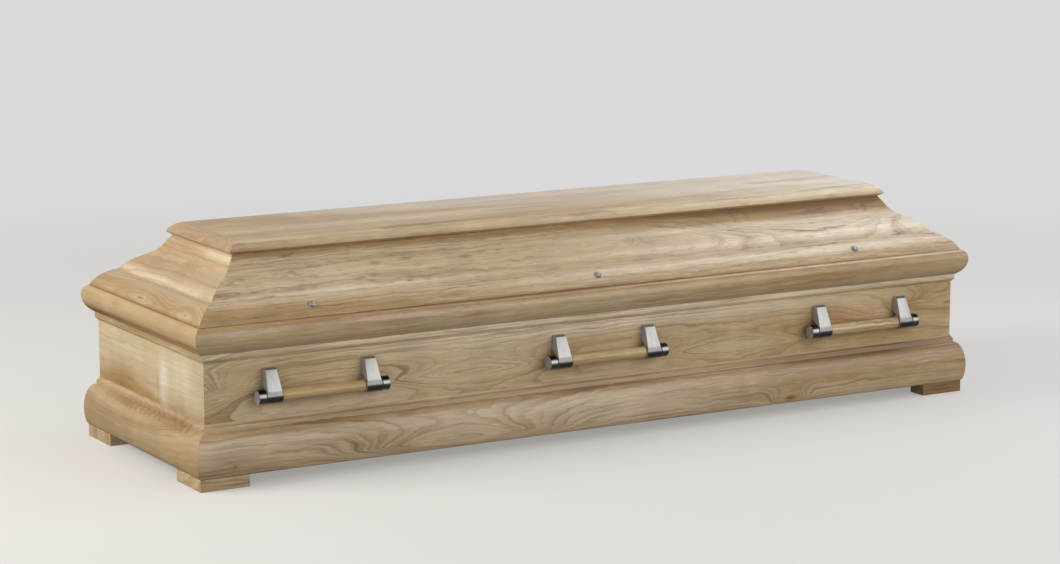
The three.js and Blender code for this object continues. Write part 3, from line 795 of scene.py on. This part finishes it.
def block_levels(foot, top):
    """Heights of a block's four rings: the foot, the top and an arris above and below them."""
    return np.array([foot, foot + BLOCK_ARRIS, top - BLOCK_ARRIS, top])


def dress_floor():
    """Floor board: a rectangle drawn in by the arris at the top and bottom rings."""
    low, high = (np.array(corner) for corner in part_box("floor_board"))
    centre = (low + high) / 2
    half = (high - low) / 2
    corner = np.array([[-1, -1], [1, -1], [1, 1], [-1, 1]])
    drawn_in = np.array([BLOCK_ARRIS, 0, 0, BLOCK_ARRIS])
    rings = np.empty((4, 4, 3))
    rings[..., :2] = corner[None] * (half[:2] - drawn_in[:, None])[:, None]
    rings[..., 2] = block_levels(-half[2], half[2])[:, None]
    board_ash = ash("ash floor", "X", (0, -0.2), 20)
    piece = make_piece("floor_board_dressed", *closed_grid(rings + centre), [board_ash])
    fit(piece, "floor_board")


def dress_feet():
    """Corner blocks: the plan outline with eased corners, drawn in a little at the top and bottom.
    Painted shade browns the front right foot.
    """
    # painted shade: browns the front right foot
    right_foot_painted_shade = spot((0.95, -0.3, 0.01), 0.25, 0.2, 1.6, across=0.3)
    foot_ash = ash("ash feet", "X", (-0.2, 0.1), 21, (0.95, 0.93, 0.88), tones=[right_foot_painted_shade])
    corner_ease = 1.5 * MM
    edge_scale = 1 - 0.012
    drawn_in = np.array([edge_scale, 1, 1, edge_scale])
    for node in ("foot_front_left", "foot_front_right", "foot_back_left", "foot_back_right"):
        low, high = (np.array(corner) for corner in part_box(node))
        outer = np.array([low[0] if "left" in node else high[0], low[1] if "front" in node else high[1]])
        inward = np.array([1 if "left" in node else -1, 1 if "front" in node else -1])
        along, across = high[0] - low[0], high[1] - low[1]
        corners = outline((0, 0), (along, 0), (along, FOOT_ARM), (FOOT_ARM, across), (0, across))
        plan = eased(corners, corner_ease)
        middle = plan.mean(0)
        rings = np.empty((4, len(plan), 3))
        rings[..., :2] = outer + inward * (middle + (plan - middle) * drawn_in[:, None, None])
        rings[..., 2] = block_levels(low[2], high[2])[:, None]
        fit(make_piece(f"{node}_dressed", *closed_grid(rings), [foot_ash]), node)


# Handles and screws

def drawn_inwards(points, distance):
    """Moves every side of a closed outline inwards: each point goes along the bisector of its
    corner by twice the distance over the squared length of the two normals' sum."""
    edge = np.roll(points, -1, 0) - points
    edge = edge / np.hypot(*edge.T)[:, None]
    normal = np.stack([-edge[:, 1], edge[:, 0]], 1)
    bisector = normal + np.roll(normal, 1, 0)
    x, y = points.T
    area = (x * np.roll(y, -1) - y * np.roll(x, -1)).sum()
    return points + np.sign(area) * 2 * distance * bisector / (bisector ** 2).sum(1)[:, None]


def turned(profile, axis, sides):
    """Turned shell round X or Z: every (radius, place along the axis) point runs a full circle."""
    angle = np.arange(sides) * 2 * math.pi / sides
    radius, along = np.array(profile).T
    circle = [np.outer(radius, np.cos(angle)), np.outer(radius, np.sin(angle))]
    along = [np.repeat(along[:, None], sides, 1)]
    return closed_grid(np.stack(along + circle if axis == "X" else circle + along, -1))


def union(first, second):
    """One closed shell from two shells that overlap, each given as (vertices, faces)."""
    solids = [make_piece("union solid", *shell, []) for shell in (first, second)]
    join = solids[0].modifiers.new("union", "BOOLEAN")
    join.operation = "UNION"
    join.solver = "MANIFOLD"
    join.object = solids[1]
    whole = solids[0].evaluated_get(bpy.context.evaluated_depsgraph_get())
    mesh = bpy.data.meshes.new_from_object(whole)
    places = mesh_places(mesh)
    faces = [list(face.vertices) for face in mesh.polygons]
    for used in (solids[0].data, solids[1].data, mesh):
        bpy.data.meshes.remove(used)
    return places, faces


def bracket_shell(top, reach, radius, barrel_half):
    """A leaning arm joined to a barrel, with Y = 0 on the wall, negative outwards, and Z = 0 at the
    barrel's axis. From the side the arm is an outline whose front runs as a tangent from its top
    edge to the barrel. Across, it reaches half widths that grow evenly from top to axis, and its
    rim is a quarter circle: inset r (1 - sin t), drawn in r (1 - cos t)."""
    apart = math.hypot(top, reach - ARM_TOP_DEPTH)
    lean = math.atan2(reach - ARM_TOP_DEPTH, top) + math.asin(radius / apart)
    touch = (reach + radius * math.cos(lean), radius * math.sin(lean))
    back_foot = (reach - ARM_BACK_OFFSET, math.sqrt(radius ** 2 - ARM_BACK_OFFSET ** 2) - SEAT_GAP)
    front_top = (ARM_TOP_DEPTH + ARM_BEVEL_DROP * math.tan(lean), top - ARM_BEVEL_DROP)
    side = eased(outline(
        (SEAT_GAP, top), (SEAT_GAP, top - ARM_BLOCK), back_foot, (reach, 0), touch,
        front_top, (ARM_TOP_DEPTH - ARM_BEVEL_RUN, top)), ARM_EDGE)
    foot_half = barrel_half - FINE_EDGE
    half = ARM_TOP_HALF + (top - side[:, 1]) * (foot_half - ARM_TOP_HALF) / top
    turn = np.linspace(0, math.pi / 2, 5)
    rings = []
    for sign, t in [(-1, t) for t in turn] + [(1, t) for t in turn[::-1]]:
        out, up = drawn_inwards(side, ARM_EDGE * (1 - math.sin(t))).T
        rings.append(np.stack([sign * (half - ARM_EDGE * (1 - math.cos(t))), -out, up], -1))
    barrel, faces = turned([
        (radius - BARREL_EDGE, -barrel_half), (radius, BARREL_EDGE - barrel_half),
        (radius, barrel_half - BARREL_EDGE), (radius - BARREL_EDGE, barrel_half)], "X", TURNED_SIDES)
    return union(closed_grid(np.array(rings)), (barrel - [0, reach, 0], faces))


def grip_shell(radius, half):
    """Turned bar: the radius falls by a quarter circle at each end and by the square of the
    distance from the middle between them."""
    along = half * np.sin(np.linspace(-math.pi / 2, math.pi / 2, 61))
    over = np.clip((abs(along) - (half - GRIP_SHOULDER)) / GRIP_SHOULDER, 0, 1)
    fall = GRIP_SHOULDER * (1 - np.sqrt(1 - 0.96 * over ** 2)) + GRIP_CROWN * (along / half) ** 2
    return turned(np.stack([radius - fall, along], 1), "X", TURNED_SIDES)


def rod_end_shell(radius, length):
    """Turned stub: a narrow neck against the barrel, a rounded rim and a slightly sunk disc."""
    turn = np.linspace(0, math.pi / 2, 6)
    rim = np.stack([radius - ROD_RIM * (1 - np.cos(turn)), length - ROD_RIM * (1 - np.sin(turn))], 1)
    disc = radius - ROD_RIM - 3 * ROD_DISC_STEP
    return turned([
        (radius - ROD_NECK_DEPTH, 0), (radius - ROD_NECK_DEPTH, ROD_NECK_LENGTH),
        (radius - FINE_EDGE, ROD_NECK_LENGTH), (radius, ROD_NECK_LENGTH + FINE_EDGE), *rim,
        (disc + ROD_DISC_STEP, length), (disc, length - FINE_EDGE)], "X", TURNED_SIDES)


def screw_shell(radius, height):
    """Turned head: a thin flange with a rounded rim under a dome that is a quarter ellipse."""
    turn = np.linspace(0, math.pi / 2, 12)[:-1]
    dome_radius = radius - SCREW_RIM
    rise = SCREW_FLANGE + (height - SCREW_FLANGE) * np.sin(turn)
    dome = np.stack([dome_radius * np.cos(turn), rise], 1)
    return turned([
        (radius, 0), (radius, 0.6 * SCREW_FLANGE), (radius - FINE_EDGE, 0.9 * SCREW_FLANGE),
        (radius - 0.8 * MM, SCREW_FLANGE), (dome_radius, 0.7 * SCREW_FLANGE), *dome], "Z", SCREW_SIDES)


def dress_screw(node, metal):
    """The head's axis is the direction in which its solid is flattest, and it sits at its foot."""
    places = mesh_places(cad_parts[node].data)
    middle = places.mean(0)
    axis = np.linalg.svd(places - middle)[2][2]
    axis = axis * np.sign(axis[2])
    spread = (places - middle) @ axis
    radius = np.ptp(places[:, 0]) / 2
    x_axis = np.array([1.0, 0, 0])
    axes = np.stack([x_axis, np.cross(axis, x_axis), axis])
    vertices, faces = screw_shell(radius, np.ptp(spread))
    seat = middle + axis * spread.min()
    fit(make_piece(f"{node}_dressed", vertices @ axes + seat, faces, [metal]), node)


def place_fitting(node, shell, turn, finishes):
    """Sets a handle's shell at the middle of its solid's length and on the rod's axis, turned half
    round the upright when turn is -1. Faces that look along the coffin take the second finish."""
    low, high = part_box(node)
    vertices, faces = shell
    side = 1 if low[1] > 0 else -1
    middle = ((low[0] + high[0]) / 2, side * ROD_OUT, ROD_HEIGHT)
    piece = make_piece(f"{node}_dressed", vertices * [turn, turn, 1] + middle, faces, finishes)
    if len(finishes) > 1:
        normals = np.empty(len(faces) * 3)
        piece.data.polygons.foreach_get("normal", normals)
        looks_along = abs(normals[::3]) > 0.85
        piece.data.polygons.foreach_set("material_index", looks_along.astype(np.int32))
    fit(piece, node)


def handle_shells():
    """The bracket, grip and rod end, each centred on the rod's axis, at the sizes of their solids."""
    bracket_low, bracket_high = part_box("handle_back_1_bracket_left")
    grip_low, grip_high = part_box("handle_back_1_grip")
    barrel_half = (bracket_high[0] - bracket_low[0]) / 2
    reach = ROD_OUT - bracket_low[1] + SEAT_GAP
    rod_length = ROD_BOX[1][0] - ROD_BOX[0][0]
    bracket, bracket_faces = bracket_shell(bracket_high[2] - ROD_HEIGHT, reach, ROD_RADIUS, barrel_half)
    grip = grip_shell((grip_high[2] - grip_low[2]) / 2, (grip_high[0] - grip_low[0]) / 2)
    rod_end, rod_faces = rod_end_shell(ROD_RADIUS, rod_length)
    return (bracket + [0, reach, 0], bracket_faces), grip, (rod_end - [rod_length / 2, 0, 0], rod_faces)


def dress_handles():
    """Three handles and three screws on each long side. The left front grip is a little browner as
    painted shade and the right one paler as painted light, following the light along the side."""
    light, dark = (0.36, 0.355, 0.345, 1), (0.32, 0.315, 0.305, 1)
    # barrel=0.6 darkens the barrels as a painted dark reflection
    brushed = nickel("brushed nickel", 0.9, light, dark, barrel=0.6)
    satin = nickel("satin nickel", 0.3, (0.44, 0.445, 0.45, 1), (0.4, 0.405, 0.41, 1))
    rod = nickel("rod nickel", 0.95, light, dark, shadow_band=True)
    screw = nickel("screw nickel", 0.6, (0.40, 0.40, 0.41, 1), (0.34, 0.34, 0.35, 1))
    grip_ash = ash(
        "ash grip", "X", (-0.3, 0.16), 30, (0.99, 0.92, 0.72), ring=5, bands=0.6, lines=0.6, blush=0.0,
        # painted shade on the left front grip and painted light on the right one
        tones=[spot((-0.63, -0.31, 0.16), 0.2, 0.2, 0.35, across=0.2)],
        pale=[spot((0.63, -0.31, 0.16), 0.3, 0.2, 0.6, across=0.2)])
    bracket, grip, rod_end = handle_shells()
    for side, facing in (("front", 1), ("back", -1)):
        for number in (1, 2, 3):
            name = f"handle_{side}_{number}"
            place_fitting(f"{name}_grip", grip, 1, [grip_ash])
            for end, outward in (("left", -facing), ("right", facing)):
                place_fitting(f"{name}_bracket_{end}", bracket, facing, [brushed, satin])
                place_fitting(f"{name}_rod_end_{end}", rod_end, outward, [rod, satin])
            dress_screw(f"lid_screw_{side}_{number}", screw)


# Studio

def add_area(name, place, aim, size, power, tint, mirrored=True):
    """A soft rectangular lamp, turned to face the aim point. Unless mirrored, it leaves no sheen."""
    data = bpy.data.lights.new(name, "AREA")
    data.shape = "RECTANGLE"
    data.size, data.size_y = size
    data.energy = power
    data.color = tint
    lamp = bpy.data.objects.new(name, data)
    lamp.location = place
    lamp.visible_glossy = mirrored
    lamp.rotation_euler = (Vector(aim) - Vector(place)).to_track_quat("-Z", "Y").to_euler()
    bpy.context.scene.collection.objects.link(lamp)


def add_floor():
    """Plain pale floor that takes light and shadow near the coffin and turns to one even tone
    farther out. Mirrors and walls don't see it."""
    half = 40.0
    near_end, far_start = 1.3, 4.2
    material, w = new_material("pale floor")
    place = w.put("ShaderNodeTexCoord").outputs["Object"]
    far = w.remap(w.vector("LENGTH", place), near_end, far_start)
    shader = w.put("ShaderNodeBsdfPrincipled", {
        "Base Color": w.mix(far, (0.5, 0.49, 0.475, 1), (0.0, 0.0, 0.0, 1)),
        "Roughness": 0.9, "Specular IOR Level": 0.0,
        "Emission Color": w.mix(far, (0.28, 0.277, 0.272, 1), (0.70, 0.70, 0.70, 1)),
        "Emission Strength": 1.0})
    w.put("ShaderNodeOutputMaterial", {"Surface": shader.outputs[0]})
    mesh = bpy.data.meshes.new("floor")
    corners = [(-half, -half, 0), (half, -half, 0), (half, half, 0), (-half, half, 0)]
    mesh.from_pydata(corners, [], [(0, 1, 2, 3)])
    mesh.materials.append(material)
    floor = bpy.data.objects.new("floor", mesh)
    floor.visible_diffuse = False
    floor.visible_glossy = False
    bpy.context.scene.collection.objects.link(floor)


def add_world():
    """Soft dome: dim below the horizon, grey at it and a little brighter overhead. In mirrors it is
    nearly black below the horizon, and the camera sees it paler."""
    world = bpy.data.worlds.new("studio")
    bpy.context.scene.world = world
    world.use_nodes = True
    world.node_tree.nodes.clear()
    w = Wires(world.node_tree)
    direction = w.put("ShaderNodeTexCoord").outputs["Generated"]
    height = w.put("ShaderNodeSeparateXYZ", {0: direction}).outputs["Z"]
    rays = w.put("ShaderNodeLightPath").outputs
    low = w.remap(height, -0.5, 0.15, 0.2, 0.36)
    high = w.remap(height, 0.15, 0.9, 0.0, 0.05)
    mirrored = w.remap(height, -0.2, 0.2, 0.04, 0.36)
    lit = w.math("MULTIPLY", low, w.math("SUBTRACT", 1.0, rays["Is Glossy Ray"]))
    low = w.math("ADD", lit, w.math("MULTIPLY", mirrored, rays["Is Glossy Ray"]))
    dome = w.math("ADD", low, high)
    strength = w.math("ADD", dome, w.math("MULTIPLY", rays["Is Camera Ray"], 0.36))
    sky = w.put("ShaderNodeBackground", {"Color": (0.96, 0.98, 1.0, 1), "Strength": strength})
    w.put("ShaderNodeOutputWorld", {"Surface": sky.outputs[0]})


def add_studio():
    """Each lamp by its place, the point it faces, its size, its power and its tint."""
    warm, soft, cool = (1.0, 0.94, 0.84), (1.0, 0.98, 0.95), (0.98, 0.99, 1.0)
    add_floor()
    add_world()
    add_area("left end light", (-4.4, 0.85, 2.3), (-1.0, 0.0, 0.3), (2.2, 2.8), 160, warm, mirrored=False)
    add_area("front panel", (2.1, -3.9, 1.6), (0.3, -0.3, 0.3), (5.0, 3.0), 88, soft)
    add_area("left fill", (-4.5, -2.6, 1.4), (-0.6, -0.2, 0.25), (1.6, 1.2), 32, (1.0, 0.97, 0.93))
    add_area("top panel", (2.1, -0.2, 2.7), (0.9, -0.1, 0.4), (1.4, 1.4), 19, cool)
    add_area("back panel", (3.6, 4.3, 1.5), (0.8, 0.0, 0.5), (4.2, 1.6), 22, cool)
    bpy.context.scene.view_settings.view_transform = "Standard"


def add_camera():
    data = bpy.data.cameras.new("camera")
    data.lens = CAMERA_LENS
    data.clip_end = 200
    camera = bpy.data.objects.new("camera", data)
    camera.location = CAMERA_PLACE
    camera.rotation_euler = (math.radians(90 - CAMERA_PITCH), 0, -math.radians(CAMERA_YAW))
    bpy.context.scene.collection.objects.link(camera)
    bpy.context.scene.camera = camera


add_camera()
dress_base()
dress_walls()
dress_rails()
dress_lid_boards()
dress_cap()
dress_floor()
dress_feet()
dress_handles()
add_studio()
